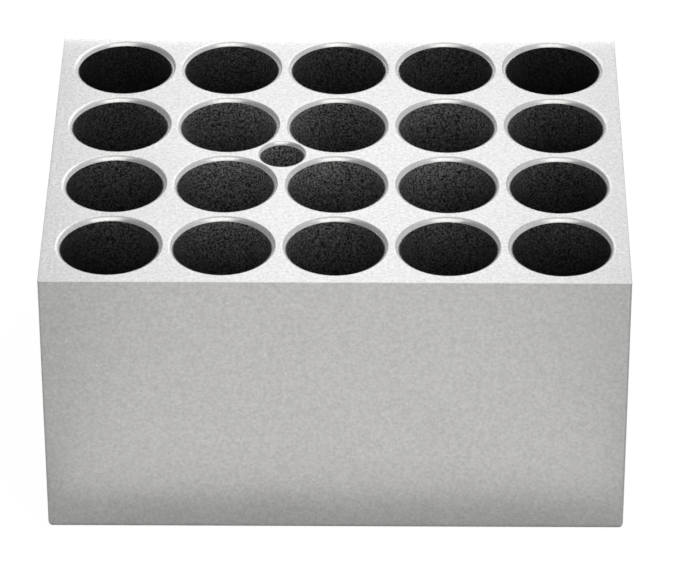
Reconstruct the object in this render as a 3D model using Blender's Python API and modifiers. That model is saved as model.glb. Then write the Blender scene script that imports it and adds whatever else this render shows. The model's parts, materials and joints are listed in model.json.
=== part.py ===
"""Interchangeable heating block of a dry block heater.

One solid of aluminium: a rectangular block with a grid of blind wells for vials in its top, and
one small blind well for a thermometer between them. Metres, +Z up. X runs along the longer side.
The origin is the centre of the underside.
"""

import math

import bpy

# Block
LENGTH = 0.09525
DEPTH = 0.0762
HEIGHT = 0.0494
LOWER_EDGE_RADIUS = 0.0011
LOWER_EDGE_SEGMENTS = 3

# Vial wells. The block holds as many as fit with at least this much wall round the outside
WELL_DIAMETER = 0.015875
WELL_DEPTH = 0.035
WEB_BETWEEN_WELLS = 0.00245
LEAST_OUTER_WALL = 0.0022
WELL_RIM_CHAMFER = 0.00065
WELL_FLOOR_RADIUS = 0.0008
WELL_SIDES = 32

# Thermometer well, in the middle of the four vial wells nearest the block's centre
THERMOMETER_DIAMETER = 0.0071
THERMOMETER_DEPTH = 0.035
THERMOMETER_RIM_CHAMFER = 0.0004
THERMOMETER_TIP_ANGLE = math.radians(118)
THERMOMETER_SIDES = 20

# How far a cutter stands above the top, so that it cuts clean through it
CUTTER_RISE = 0.001

FLOOR_ARC_POINTS = 3
MERGE_DISTANCE = 0.000001
SHARP_ANGLE = math.radians(30)
ALUMINIUM_COLOUR = (0.73, 0.73, 0.72, 1.0)
ALUMINIUM_ROUGHNESS = 0.42


def clear_scene():
    for old in list(bpy.data.objects):
        bpy.data.objects.remove(old, do_unlink=True)


def new_collection(name):
    made = bpy.data.collections.new(name)
    bpy.context.scene.collection.children.link(made)
    return made


def aluminium():
    material = bpy.data.materials.new("milled_aluminium")
    material.use_nodes = True
    shader = material.node_tree.nodes["Principled BSDF"]
    shader.inputs["Base Color"].default_value = ALUMINIUM_COLOUR
    shader.inputs["Metallic"].default_value = 1.0
    shader.inputs["Roughness"].default_value = ALUMINIUM_ROUGHNESS
    return material


def move_to(obj, collection):
    for holder in list(obj.users_collection):
        holder.objects.unlink(obj)
    collection.objects.link(obj)


def plain_block(collection):
    """The bar before drilling, with the four edges round its underside rounded over."""
    bpy.ops.mesh.primitive_cube_add(size=1.0, location=(0.0, 0.0, HEIGHT / 2))
    block = bpy.context.object
    block.name = "heating_block"
    block.scale = (LENGTH, DEPTH, HEIGHT)
    bpy.ops.object.transform_apply(location=True, rotation=False, scale=True)
    move_to(block, collection)

    weights = block.data.attributes.new("bevel_weight_edge", "FLOAT", "EDGE")
    for edge in block.data.edges:
        ends = [block.data.vertices[i].co.z for i in edge.vertices]
        weights.data[edge.index].value = 1.0 if max(ends) < HEIGHT / 2 else 0.0

    rounding = block.modifiers.new("rounded_lower_edges", "BEVEL")
    rounding.limit_method = "WEIGHT"
    rounding.width = LOWER_EDGE_RADIUS
    rounding.segments = LOWER_EDGE_SEGMENTS
    return block


def well_outline(radius, depth, chamfer, floor):
    """Half section of a well's cutter, from the axis above the top, down its side, to the floor."""
    rise = [
        (0.0, CUTTER_RISE),
        (radius + chamfer + CUTTER_RISE, CUTTER_RISE),
        (radius, -chamfer),
    ]
    return rise + floor(radius, depth)


def flat_floor(radius, depth):
    """A flat floor with a small radius round it, as an end mill with rounded corners leaves."""
    corner = WELL_FLOOR_RADIUS
    points = []
    for step in range(FLOOR_ARC_POINTS):
        angle = math.radians(90) * step / (FLOOR_ARC_POINTS - 1)
        out = radius - corner + corner * math.cos(angle)
        down = -depth + corner - corner * math.sin(angle)
        points.append((out, down))
    return points + [(0.0, -depth)]


def drilled_floor(radius, depth):
    """The cone that a twist drill leaves below the full depth of its hole."""
    tip = radius / math.tan(THERMOMETER_TIP_ANGLE / 2)
    return [(radius, -depth), (0.0, -depth - tip)]


def well_cutter_mesh(name, outline, sides):
    """Turns the half section about Z and keeps the result as a plain mesh."""
    section = bpy.data.meshes.new(name + "_section")
    points = [(out, 0.0, up) for out, up in outline]
    edges = [(i, i + 1) for i in range(len(points) - 1)]
    section.from_pydata(points, edges, [])
    turned = bpy.data.objects.new(name, section)
    bpy.context.scene.collection.objects.link(turned)

    screw = turned.modifiers.new("turned", "SCREW")
    screw.axis = "Z"
    screw.angle = math.radians(360)
    screw.steps = sides
    screw.render_steps = sides
    screw.use_merge_vertices = True
    screw.merge_threshold = MERGE_DISTANCE

    bpy.context.view_layer.update()
    evaluated = turned.evaluated_get(bpy.context.evaluated_depsgraph_get())
    mesh = bpy.data.meshes.new_from_object(evaluated)
    mesh.name = name
    mesh.shade_smooth()
    mesh.set_sharp_from_angle(angle=SHARP_ANGLE)
    bpy.data.objects.remove(turned, do_unlink=True)
    return mesh


def place_cutter(name, mesh, x, y, collection):
    cutter = bpy.data.objects.new(name, mesh)
    cutter.location = (x, y, HEIGHT)
    cutter.hide_render = True
    cutter.display_type = "WIRE"
    collection.objects.link(cutter)
    return cutter


def line_of_wells(side):
    """Centres of the wells along one side of the block, spaced evenly about its middle."""
    pitch = WELL_DIAMETER + WEB_BETWEEN_WELLS
    room = side - 2 * LEAST_OUTER_WALL - WELL_DIAMETER
    count = 1 + math.floor(room / pitch)
    return [(i - (count - 1) / 2) * pitch for i in range(count)]


def between_wells(centres):
    """The middle of the gap before the well that is at or just past the block's centre."""
    after = len(centres) // 2
    return (centres[after - 1] + centres[after]) / 2


def vial_well_cutters(collection):
    outline = well_outline(WELL_DIAMETER / 2, WELL_DEPTH, WELL_RIM_CHAMFER, flat_floor)
    mesh = well_cutter_mesh("vial_well", outline, WELL_SIDES)
    for row, y in enumerate(line_of_wells(DEPTH), 1):
        for column, x in enumerate(line_of_wells(LENGTH), 1):
            place_cutter(f"vial_well_{row}_{column}", mesh, x, y, collection)


def thermometer_well_cutter(collection):
    outline = well_outline(
        THERMOMETER_DIAMETER / 2, THERMOMETER_DEPTH, THERMOMETER_RIM_CHAMFER, drilled_floor
    )
    mesh = well_cutter_mesh("thermometer_well", outline, THERMOMETER_SIDES)
    x = between_wells(line_of_wells(LENGTH))
    y = between_wells(line_of_wells(DEPTH))
    place_cutter("thermometer_well", mesh, x, y, collection)


def drill(block, cutters):
    wells = block.modifiers.new("wells", "BOOLEAN")
    wells.operation = "DIFFERENCE"
    wells.operand_type = "COLLECTION"
    wells.collection = cutters
    wells.solver = "EXACT"


clear_scene()
parts = new_collection("dry_block_heater_block")
cutters = new_collection("well_cutters")
heating_block = plain_block(parts)
heating_block.data.materials.append(aluminium())
vial_well_cutters(cutters)
thermometer_well_cutter(cutters)
drill(heating_block, cutters)
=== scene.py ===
import json
import math
import random

import bmesh
import bpy
from mathutils import Matrix, Vector

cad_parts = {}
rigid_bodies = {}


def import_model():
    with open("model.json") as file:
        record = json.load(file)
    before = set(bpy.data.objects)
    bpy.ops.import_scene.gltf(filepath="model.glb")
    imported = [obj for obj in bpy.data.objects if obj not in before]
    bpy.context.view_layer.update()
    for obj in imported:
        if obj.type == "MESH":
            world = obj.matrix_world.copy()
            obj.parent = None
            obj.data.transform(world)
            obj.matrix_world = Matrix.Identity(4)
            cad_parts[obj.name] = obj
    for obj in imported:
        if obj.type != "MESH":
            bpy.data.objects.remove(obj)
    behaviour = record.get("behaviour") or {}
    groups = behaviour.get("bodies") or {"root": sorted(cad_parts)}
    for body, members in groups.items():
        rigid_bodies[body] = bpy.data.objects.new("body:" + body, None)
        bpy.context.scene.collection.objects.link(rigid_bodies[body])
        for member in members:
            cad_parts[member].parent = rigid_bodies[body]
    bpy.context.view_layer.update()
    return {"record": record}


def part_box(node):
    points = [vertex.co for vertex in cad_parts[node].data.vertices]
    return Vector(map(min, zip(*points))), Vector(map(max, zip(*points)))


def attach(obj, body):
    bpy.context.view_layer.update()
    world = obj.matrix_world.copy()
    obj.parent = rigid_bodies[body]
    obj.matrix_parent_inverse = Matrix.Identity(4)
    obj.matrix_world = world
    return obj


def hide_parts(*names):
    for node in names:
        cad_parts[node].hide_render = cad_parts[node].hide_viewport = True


for old in list(bpy.data.objects):
    bpy.data.objects.remove(old, do_unlink=True)

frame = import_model()

# ---------------------------------------------------------------------------------------------
# The bar: one rectangular length of aluminium, sawn off and milled square on all six faces. Its
# lower edges are rounded so that it drops into the heater's chamber, and the others only broken.
# ---------------------------------------------------------------------------------------------
BAR_LOW, BAR_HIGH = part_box("heating_block")
TOP = BAR_HIGH.z
LOWER_EDGE_RADIUS = 0.0011
UPRIGHT_EDGE_SHARE = 0.30
UPPER_EDGE_SHARE = 0.08
EDGE_SEGMENTS = 5
TOP_BORDER = 0.0012
MILLED, TURNED, BORED, END_CUT, WORN = range(5)

bar = bmesh.new()
bmesh.ops.create_cube(bar, size=1.0)
bmesh.ops.scale(bar, vec=BAR_HIGH - BAR_LOW, verts=bar.verts)
bmesh.ops.translate(bar, vec=(BAR_LOW + BAR_HIGH) / 2, verts=bar.verts)

edge_break = bar.edges.layers.float.new("bevel_weight_edge")
for edge in bar.edges:
    heights = [corner.co.z for corner in edge.verts]
    if min(heights) < max(heights):
        edge[edge_break] = UPRIGHT_EDGE_SHARE
    elif max(heights) > TOP / 2:
        edge[edge_break] = UPPER_EDGE_SHARE
    else:
        edge[edge_break] = 1.0

for face in bar.faces:
    face.smooth = True
top_face = max(bar.faces, key=lambda face: face.calc_center_median().z)
bmesh.ops.inset_region(bar, faces=[top_face], thickness=TOP_BORDER)
top_outline = list(top_face.edges)
bmesh.ops.delete(bar, geom=[top_face], context="FACES_ONLY")

# ---------------------------------------------------------------------------------------------
# The vial wells: blind bores with a flat floor, cut by an end mill and broken at the rim with a
# hand tool, which leaves a slightly crowned chamfer and a burr here and there. Their places and
# depth are those of the CAD wells.
# ---------------------------------------------------------------------------------------------
VIAL_WELL_RADIUS = 0.015875 / 2
VIAL_WELL_FLOOR_RADIUS = 0.0008
VIAL_WELL_STEPS = 112
FLOOR_ARC_STEPS = 6
BURR_HEIGHTS = (0.00005, 0.00013)
MOST_BURRS = 2
BURR_SEED = 8
SAME_PLACE = 1e-7
SAME_HEIGHT = 1e-6

# A rim is a run of bends: the radius of each, the slopes where it starts and ends, and its steps
VIAL_RIM_BENDS = ((0.00050, 0, 18, 3), (0.00120, 18, 62, 7), (0.00009, 62, 90, 3))


def rim_profile(radius, bends):
    """The points from the top face, round the chamfer's bends, to the top of the bore's wall."""
    width = sum(
        bend * (math.sin(math.radians(end)) - math.sin(math.radians(start)))
        for bend, start, end, steps in bends
    )
    place = Vector((radius + width, TOP))
    points = [tuple(place)]
    for bend, start, end, steps in bends:
        slopes = [math.radians(start + (end - start) * i / steps) for i in range(steps + 1)]
        outward = [Vector((-math.sin(slope), math.cos(slope))) for slope in slopes]
        centre = place - outward[0] * bend
        for normal in outward[1:]:
            place = centre + normal * bend
            points.append(tuple(place))
    return points


def flat_floor(radius, floor):
    """The points round the arc at the foot of the bore's wall, and on to the floor's middle."""
    points = []
    for i in range(FLOOR_ARC_STEPS + 1):
        angle = math.radians(90 * i / FLOOR_ARC_STEPS)
        out = radius - VIAL_WELL_FLOOR_RADIUS * (1 - math.cos(angle))
        up = floor + VIAL_WELL_FLOOR_RADIUS * (1 - math.sin(angle))
        points.append((out, up))
    return points + [(0.0, floor)]


def turned_well(profile, wall_top, wall_bottom, steps):
    """The surface of one well, spun from its profile about the Z axis."""
    well = bmesh.new()
    points = [well.verts.new((out, 0.0, up)) for out, up in profile]
    lines = [well.edges.new(pair) for pair in zip(points, points[1:])]
    bmesh.ops.spin(
        well,
        geom=points + lines,
        cent=(0, 0, 0),
        axis=(0, 0, 1),
        angle=math.tau,
        steps=steps,
        use_merge=True,
    )
    bmesh.ops.remove_doubles(well, verts=well.verts, dist=SAME_PLACE)
    from_axis = well.verts.layers.float.new("from_well_axis")
    for corner in well.verts:
        corner[from_axis] = math.hypot(corner.co.x, corner.co.y)
    for face in well.faces:
        height = face.calc_center_median().z
        face.smooth = True
        face.material_index = BORED
        if height > wall_top:
            face.material_index = TURNED
        elif height < wall_bottom:
            face.material_index = END_CUT
    mesh = bpy.data.meshes.new("well")
    well.to_mesh(mesh)
    well.free()
    return mesh


def sink_well(mesh, x, y):
    """Puts a well into the bar, and gives its corners."""
    already_there = len(bar.verts)
    bar.from_mesh(mesh)
    bar.verts.ensure_lookup_table()
    fresh = bar.verts[already_there:]
    bmesh.ops.translate(bar, vec=(x, y, 0), verts=fresh)
    return fresh


def mouth_of(corners):
    """The open edges of a well, which the deck joins."""
    return list({line for corner in corners for line in corner.link_edges if line.is_boundary})


well_places = [
    Vector(mount["pos_m"])
    for mount in frame["record"]["mounts"]
    if mount["name"].startswith("well_floor")
]
well_floor = well_places[0].z
vial_rim = rim_profile(VIAL_WELL_RADIUS, VIAL_RIM_BENDS)
wall_top = vial_rim[-1][1]
wall_bottom = well_floor + VIAL_WELL_FLOOR_RADIUS
vial_profile = vial_rim + flat_floor(VIAL_WELL_RADIUS, well_floor)
vial_well = turned_well(vial_profile, wall_top, wall_bottom, VIAL_WELL_STEPS)

mouths = []
luck = random.Random(BURR_SEED)
for centre in well_places:
    corners = sink_well(vial_well, centre.x, centre.y)
    mouths += mouth_of(corners)
    lip = [corner for corner in corners if abs(corner.co.z - wall_top) < SAME_HEIGHT]
    for corner in luck.sample(lip, luck.randint(0, MOST_BURRS)):
        inward = (centre - corner.co) * Vector((1, 1, 0))
        corner.co += inward.normalized() * luck.uniform(*BURR_HEIGHTS)

# ---------------------------------------------------------------------------------------------
# The thermometer well: a twist-drilled blind hole in the middle of four vial wells, with a steeper
# chamfer that just clears their rims, and the cone of the drill's point left at its bottom.
# ---------------------------------------------------------------------------------------------
THERMOMETER_WELL_RADIUS = 0.0071 / 2
THERMOMETER_RIM_BENDS = ((0.00028, 0, 30, 3), (0.00092, 30, 72, 7), (0.00009, 72, 90, 3))
THERMOMETER_WELL_STEPS = 64
DRILL_POINT_ANGLE = math.radians(118)

openings = {opening["name"]: opening for opening in frame["record"]["physics"]["openings"]}
low, high = (Vector(corner) for corner in openings["thermometer_well"]["box_m"])
centre = (low + high) / 2
drill_point = THERMOMETER_WELL_RADIUS / math.tan(DRILL_POINT_ANGLE / 2)
thermometer_rim = rim_profile(THERMOMETER_WELL_RADIUS, THERMOMETER_RIM_BENDS)
wall_top = thermometer_rim[-1][1]
drilled_end = [(THERMOMETER_WELL_RADIUS, low.z), (0.0, low.z - drill_point)]
thermometer_well = turned_well(
    thermometer_rim + drilled_end, wall_top, low.z, THERMOMETER_WELL_STEPS
)
mouths += mouth_of(sink_well(thermometer_well, centre.x, centre.y))

# ---------------------------------------------------------------------------------------------
# The deck: the flat top face between all the mouths, milled before the wells were cut. It closes
# the bar into one solid, whose edges are then broken with a file.
# ---------------------------------------------------------------------------------------------
deck = bmesh.ops.triangle_fill(
    bar, edges=top_outline + mouths, use_beauty=True, normal=(0, 0, 1)
)
for face in deck["geom"]:
    if isinstance(face, bmesh.types.BMFace):
        face.smooth = True
bmesh.ops.recalc_face_normals(bar, faces=bar.faces)
block_mesh = bpy.data.meshes.new("machined_block")
bar.to_mesh(block_mesh)
bar.free()
block = bpy.data.objects.new("machined_block", block_mesh)
bpy.context.scene.collection.objects.link(block)

edges = block.modifiers.new("broken_edges", "BEVEL")
edges.limit_method = "WEIGHT"
edges.width = LOWER_EDGE_RADIUS
edges.segments = EDGE_SEGMENTS
edges.use_clamp_overlap = False
edges.material = WORN
flatness = block.modifiers.new("flat_faces", "WEIGHTED_NORMAL")
flatness.keep_sharp = True

# ---------------------------------------------------------------------------------------------
# The finishes: fine blasted grain on the milled faces, brighter turned chamfers, dull dark bores
# with painted light and shade that differs a little from row to row and towards the block's middle,
# painted shade further down, circular cutter marks on the wells' floors, and edges rubbed
# bright by handling.
# ---------------------------------------------------------------------------------------------
DECK_GRAIN = 1.3
DECK_GRAIN_DEPTHS = (0.0010, 0.0001)
RING_STRETCH = (0.02, 0.02, 1.0)
# Painted light in the bores: they are painted paler near this place and darker out to this reach
PAINTED_LIGHT_CENTRE = (0.0, -0.001, TOP)
PAINTED_LIGHT_REACH = (0.010, 0.048)
# Painted shade in the bores: painted darker between these depths below the top, darkest deepest
PAINTED_SHADE_DARKEST_DEPTH, PAINTED_SHADE_PALEST_DEPTH = 0.011, 0.001
MARK_SPACING = 0.0005

# How pale the bores are painted in each row, as painted light and shade, by the share of the way
# from the front to the back
ROW_PAINTED_LIGHT = ((0.15, 0.85), (0.40, 0.85), (0.62, 1.50), (0.85, 0.70))


def new_finish(name):
    """A metal to be worked on: its material, node tree, shader and place on the block."""
    material = bpy.data.materials.new(name)
    material.use_nodes = True
    tree = material.node_tree
    shader = tree.nodes["Principled BSDF"]
    place = tree.nodes.new("ShaderNodeTexCoord").outputs["Object"]
    return material, tree, shader, place


def grain(tree, vector, scale, detail, roughness):
    """A noise pattern that reads a place."""
    noise = tree.nodes.new("ShaderNodeTexNoise")
    noise.inputs["Scale"].default_value = scale
    noise.inputs["Detail"].default_value = detail
    noise.inputs["Roughness"].default_value = roughness
    tree.links.new(vector, noise.inputs["Vector"])
    return noise.outputs["Fac"]


def between(tree, pattern, measured, wanted):
    """Maps the range that is measured in a pattern to the range of values that is wanted."""
    spread = tree.nodes.new("ShaderNodeMapRange")
    for side, ends in (("From", measured), ("To", wanted)):
        spread.inputs[side + " Min"].default_value = ends[0]
        spread.inputs[side + " Max"].default_value = ends[1]
    tree.links.new(pattern, spread.inputs["Value"])
    return spread.outputs["Result"]


def maths(tree, operation, first, second):
    """Joins two values, each a number or another node's result."""
    node = tree.nodes.new("ShaderNodeMath")
    node.operation = operation
    for socket, value in zip(node.inputs, (first, second)):
        if isinstance(value, (int, float)):
            socket.default_value = value
        else:
            tree.links.new(value, socket)
    return node.outputs["Value"]


def axes_of(tree, vector):
    """Splits a place or a direction into its X, Y and Z."""
    axes = tree.nodes.new("ShaderNodeSeparateXYZ")
    tree.links.new(vector, axes.inputs["Vector"])
    return axes.outputs


def paint(tree, shader, value):
    """Makes a value the shader's neutral colour."""
    colour = tree.nodes.new("ShaderNodeCombineColor")
    for channel in ("Red", "Green", "Blue"):
        tree.links.new(value, colour.inputs[channel])
    tree.links.new(colour.outputs["Color"], shader.inputs["Base Color"])


def bump(tree, shader, height, distance, strength):
    """Makes a pattern the finish's relief."""
    node = tree.nodes.new("ShaderNodeBump")
    node.inputs["Strength"].default_value = strength
    node.inputs["Distance"].default_value = distance
    tree.links.new(height, node.inputs["Height"])
    tree.links.new(node.outputs["Normal"], shader.inputs["Normal"])


def milled_aluminium():
    """Fine even grain, slow clouds and a few glints. The grain is stronger on the deck."""
    material, tree, shader, place = new_finish("milled_aluminium")
    fine = grain(tree, place, scale=1900, detail=3, roughness=0.65)
    cloud = grain(tree, place, scale=60, detail=3, roughness=0.5)
    sparkle = grain(tree, place, scale=1300, detail=1, roughness=0.5)
    glint = between(tree, sparkle, (0.74, 0.80), (0.0, 0.12))
    near_deck = [TOP - depth for depth in DECK_GRAIN_DEPTHS]
    coarser_deck = between(tree, axes_of(tree, place)["Z"], near_deck, (1.0, DECK_GRAIN))
    grit = maths(tree, "MULTIPLY", between(tree, fine, (0.25, 0.75), (-0.11, 0.11)), coarser_deck)
    tone = maths(tree, "ADD", grit, between(tree, cloud, (0.3, 0.7), (0.70, 0.73)))
    paint(tree, shader, maths(tree, "ADD", tone, glint))
    tree.links.new(between(tree, cloud, (0.3, 0.7), (0.39, 0.44)), shader.inputs["Roughness"])
    shader.inputs["Metallic"].default_value = 1.0
    bump(tree, shader, fine, distance=0.00005, strength=0.6)
    return material


def turned_chamfer():
    """Bright metal with rings left by the tool and a little pitting."""
    material, tree, shader, place = new_finish("turned_chamfer")
    rings = tree.nodes.new("ShaderNodeMapping")
    rings.inputs["Scale"].default_value = RING_STRETCH
    tree.links.new(place, rings.inputs["Vector"])
    tool_marks = grain(tree, rings.outputs["Vector"], scale=9000, detail=2, roughness=0.5)
    pitting = grain(tree, place, scale=1600, detail=3, roughness=0.6)
    paint(tree, shader, between(tree, pitting, (0.3, 0.7), (0.64, 0.76)))
    tree.links.new(between(tree, pitting, (0.3, 0.7), (0.30, 0.24)), shader.inputs["Roughness"])
    shader.inputs["Metallic"].default_value = 0.8
    bump(tree, shader, tool_marks, distance=0.00002, strength=0.15)
    return material


def painted_light_by_row(tree, y):
    """The painted light and shade of a bore from the row it stands in."""
    rows = tree.nodes.new("ShaderNodeValToRGB")
    stops = rows.color_ramp.elements
    stops.remove(stops[1])
    for share, tone in ROW_PAINTED_LIGHT:
        stops.new(share).color = (tone, tone, tone, 1)
    stops.remove(stops[0])
    front_to_back = between(tree, y, (BAR_LOW.y, BAR_HIGH.y), (0.0, 1.0))
    tree.links.new(front_to_back, rows.inputs["Fac"])
    return rows.outputs["Color"]


def dull_dark_bore():
    """Nearly black with a pale speckle, with painted shade further down, painted light that fades
    away from the block's middle, and painted light and shade from row to row.
    """
    material, tree, shader, place = new_finish("dull_dark_bore")
    soot = grain(tree, place, scale=3000, detail=3, roughness=0.65)
    speck = between(tree, soot, (0.40, 0.72), (0.003, 0.20))
    # distance from the centre of the painted light
    away = tree.nodes.new("ShaderNodeVectorMath")
    away.operation = "DISTANCE"
    away.inputs[1].default_value = PAINTED_LIGHT_CENTRE
    tree.links.new(place, away.inputs[0])
    patches = grain(tree, place, scale=40, detail=2, roughness=0.5)
    axes = axes_of(tree, place)
    for tone in (
        # painted light, paler near the block's middle and darker away from it
        between(tree, away.outputs["Value"], PAINTED_LIGHT_REACH, (1.7, 0.45)),
        between(tree, patches, (0.35, 0.65), (0.7, 1.3)),
        # painted shade, darker further down the bore
        between(tree, axes["Z"], (TOP - PAINTED_SHADE_DARKEST_DEPTH, TOP - PAINTED_SHADE_PALEST_DEPTH), (0.55, 1.35)),
        # painted light and shade from row to row
        painted_light_by_row(tree, axes["Y"]),
    ):
        speck = maths(tree, "MULTIPLY", speck, tone)
    paint(tree, shader, speck)
    shader.inputs["Roughness"].default_value = 0.6
    shader.inputs["Specular IOR Level"].default_value = 0.2
    bump(tree, shader, soot, distance=0.00006, strength=0.5)
    return material


def end_milled_floor():
    """Bare stained metal with the circles that the cutter leaves."""
    material, tree, shader, place = new_finish("end_milled_floor")
    radius = tree.nodes.new("ShaderNodeAttribute")
    radius.attribute_name = "from_well_axis"
    turns = maths(tree, "MULTIPLY", radius.outputs["Fac"], math.tau / MARK_SPACING)
    circles = maths(tree, "SINE", turns, 0.0)
    stain = grain(tree, place, scale=500, detail=4, roughness=0.6)
    marks = between(tree, circles, (-1.0, 1.0), (-0.06, 0.06))
    paint(tree, shader, maths(tree, "ADD", marks, between(tree, stain, (0.3, 0.7), (0.38, 0.58))))
    tree.links.new(between(tree, stain, (0.3, 0.7), (0.45, 0.32)), shader.inputs["Roughness"])
    shader.inputs["Metallic"].default_value = 1.0
    bump(tree, shader, circles, distance=0.00001, strength=0.4)
    return material


def rubbed_edge():
    """Metal polished unevenly along the edges."""
    material, tree, shader, place = new_finish("rubbed_edge")
    rub = grain(tree, place, scale=1200, detail=3, roughness=0.6)
    paint(tree, shader, between(tree, rub, (0.3, 0.7), (0.62, 0.78)))
    tree.links.new(between(tree, rub, (0.3, 0.7), (0.42, 0.30)), shader.inputs["Roughness"])
    shader.inputs["Metallic"].default_value = 1.0
    bump(tree, shader, rub, distance=0.00004, strength=0.3)
    return material


finishes = {
    MILLED: milled_aluminium(),
    TURNED: turned_chamfer(),
    BORED: dull_dark_bore(),
    END_CUT: end_milled_floor(),
    WORN: rubbed_edge(),
}
for slot in sorted(finishes):
    block.data.materials.append(finishes[slot])

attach(block, "root")
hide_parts("heating_block")

# ---------------------------------------------------------------------------------------------
# The table: a wide sheet of white paper under the block. It looks white wherever it is seen, and
# passes on to the block only the light that falls on it.
# ---------------------------------------------------------------------------------------------
TABLE_SIZE = 6.0
TABLE_DROP = 0.0002
PAPER_GLOW = 0.97
PAPER_SHADING = 0.05
PAPER_GREY = 0.6

table_mesh = bpy.data.meshes.new("table")
sheet = bmesh.new()
bmesh.ops.create_grid(sheet, x_segments=1, y_segments=1, size=TABLE_SIZE / 2)
bmesh.ops.translate(sheet, vec=(0, 0, -TABLE_DROP), verts=sheet.verts)
sheet.to_mesh(table_mesh)
sheet.free()
table = bpy.data.objects.new("table", table_mesh)
bpy.context.scene.collection.objects.link(table)


def matt(tree, tone):
    """A matt neutral surface."""
    shader = tree.nodes.new("ShaderNodeBsdfDiffuse")
    shader.inputs["Color"].default_value = (tone, tone, tone, 1)
    return shader.outputs["BSDF"]


paper = bpy.data.materials.new("white_paper")
paper.use_nodes = True
tree = paper.node_tree
tree.nodes.clear()
output = tree.nodes.new("ShaderNodeOutputMaterial")
chooser = tree.nodes.new("ShaderNodeMixShader")
glow = tree.nodes.new("ShaderNodeEmission")
glow.inputs["Strength"].default_value = PAPER_GLOW
as_seen = tree.nodes.new("ShaderNodeAddShader")
tree.links.new(glow.outputs["Emission"], as_seen.inputs[0])
tree.links.new(matt(tree, PAPER_SHADING), as_seen.inputs[1])
seen = tree.nodes.new("ShaderNodeLightPath").outputs["Is Camera Ray"]
tree.links.new(seen, chooser.inputs["Fac"])
tree.links.new(matt(tree, PAPER_GREY), chooser.inputs[1])
tree.links.new(as_seen.outputs["Shader"], chooser.inputs[2])
tree.links.new(chooser.outputs["Shader"], output.inputs["Surface"])
table_mesh.materials.append(paper)

# ---------------------------------------------------------------------------------------------
# The studio: a warm soft box above and in front, a panel behind, a low card that lifts the front, a
# narrow strip that washes out the back edge, and a grey room that is paler to the right.
# ---------------------------------------------------------------------------------------------
STUDIO_CENTRE = Vector((0.0, 0.0, TOP))
NEUTRAL = (1.0, 1.0, 1.0)
WARM = (1.0, 0.982, 0.945)
SOFT_BOX_DISTANCE = 0.8
BACK_PANEL_DISTANCE = 0.17
CARD_GAP = 0.009
CARD_REACH = 0.15
STRIP_GAP = 0.0006
STRIP_HEIGHT = 0.0014
ROOM_LEFT, ROOM_RIGHT = 0.26, 0.67
LOW_GLOW = 0.55
HIGH_GLOW = 0.35


def panel(name, place, faces, width, height, brightness, colour=NEUTRAL):
    """A soft panel at a place, which faces a direction. The camera doesn't see it."""
    lamp = bpy.data.lights.new(name, "AREA")
    lamp.shape = "RECTANGLE"
    lamp.size = width
    lamp.size_y = height
    lamp.energy = brightness * math.pi * width * height
    lamp.color = colour
    holder = bpy.data.objects.new(name, lamp)
    holder.location = place
    holder.rotation_euler = (-faces).to_track_quat("Z", "Y").to_euler()
    holder.visible_camera = False
    bpy.context.scene.collection.objects.link(holder)


def around(azimuth, elevation):
    """A direction from the block. Azimuth 0 is in front of it, and 90 to its right."""
    turn, lift = math.radians(azimuth), math.radians(elevation)
    return Vector(
        (math.sin(turn) * math.cos(lift), -math.cos(turn) * math.cos(lift), math.sin(lift))
    )


above = around(5, 52)
panel(
    "front_soft_box",
    STUDIO_CENTRE + above * SOFT_BOX_DISTANCE,
    -above,
    width=0.70,
    height=0.74,
    brightness=1.08,
    colour=WARM,
)
behind = around(180, 43)
panel(
    "back_panel",
    STUDIO_CENTRE + behind * BACK_PANEL_DISTANCE,
    -behind,
    width=0.130,
    height=0.13,
    brightness=1.14,
)
panel(
    "front_card",
    Vector((0.001, BAR_LOW.y - CARD_GAP - CARD_REACH / 2, 0.001)),
    Vector((0, 0, 1)),
    width=0.095,
    height=CARD_REACH,
    brightness=0.31,
    colour=WARM,
)
panel(
    "back_edge_strip",
    Vector((0.0, BAR_HIGH.y + STRIP_GAP, TOP + STRIP_HEIGHT / 2)),
    Vector((0, -1, 0)),
    width=0.11,
    height=STRIP_HEIGHT,
    brightness=0.9,
)

room = bpy.data.worlds.new("studio_room")
room.use_nodes = True
tree = room.node_tree
axes = axes_of(tree, tree.nodes.new("ShaderNodeTexCoord").outputs["Generated"])
sides = between(tree, axes["X"], (-0.5, 0.6), (ROOM_LEFT, ROOM_RIGHT))
low_glow = between(tree, axes["Z"], (0.0, 0.25), (LOW_GLOW, 0.0))
high_glow = between(tree, axes["Z"], (0.86, 0.95), (0.0, HIGH_GLOW))
room_light = maths(tree, "ADD", sides, maths(tree, "ADD", low_glow, high_glow))
tree.links.new(room_light, tree.nodes["Background"].inputs["Strength"])
tree.nodes["Background"].inputs["Color"].default_value = (1.0, 1.0, 1.0, 1)
bpy.context.scene.world = room
bpy.context.scene.view_settings.view_transform = "Standard"

# ---------------------------------------------------------------------------------------------
# The camera: a long lens, a little over a third of the way up from the level, and almost square to
# the block's front face.
# ---------------------------------------------------------------------------------------------
VIEW_CENTRE = Vector((0.0, 0.0, 0.0229))
VIEW_DISTANCE = 0.7957
VIEW_ELEVATION = 34.235
VIEW_AZIMUTH = 0.71
VIEW_ROLL = math.radians(-0.197)
LENS = 249.8
SENSOR_WIDTH = 36.0
NEAREST_SEEN = 0.05

away = around(VIEW_AZIMUTH, VIEW_ELEVATION)
camera_data = bpy.data.cameras.new("camera")
camera_data.lens = LENS
camera_data.sensor_width = SENSOR_WIDTH
camera_data.clip_start = NEAREST_SEEN
camera = bpy.data.objects.new("camera", camera_data)
turned_to = away.to_track_quat("Z", "Y").to_matrix() @ Matrix.Rotation(VIEW_ROLL, 3, "Z")
camera.matrix_world = Matrix.Translation(VIEW_CENTRE + away * VIEW_DISTANCE) @ turned_to.to_4x4()
bpy.context.scene.collection.objects.link(camera)
bpy.context.scene.camera = camera
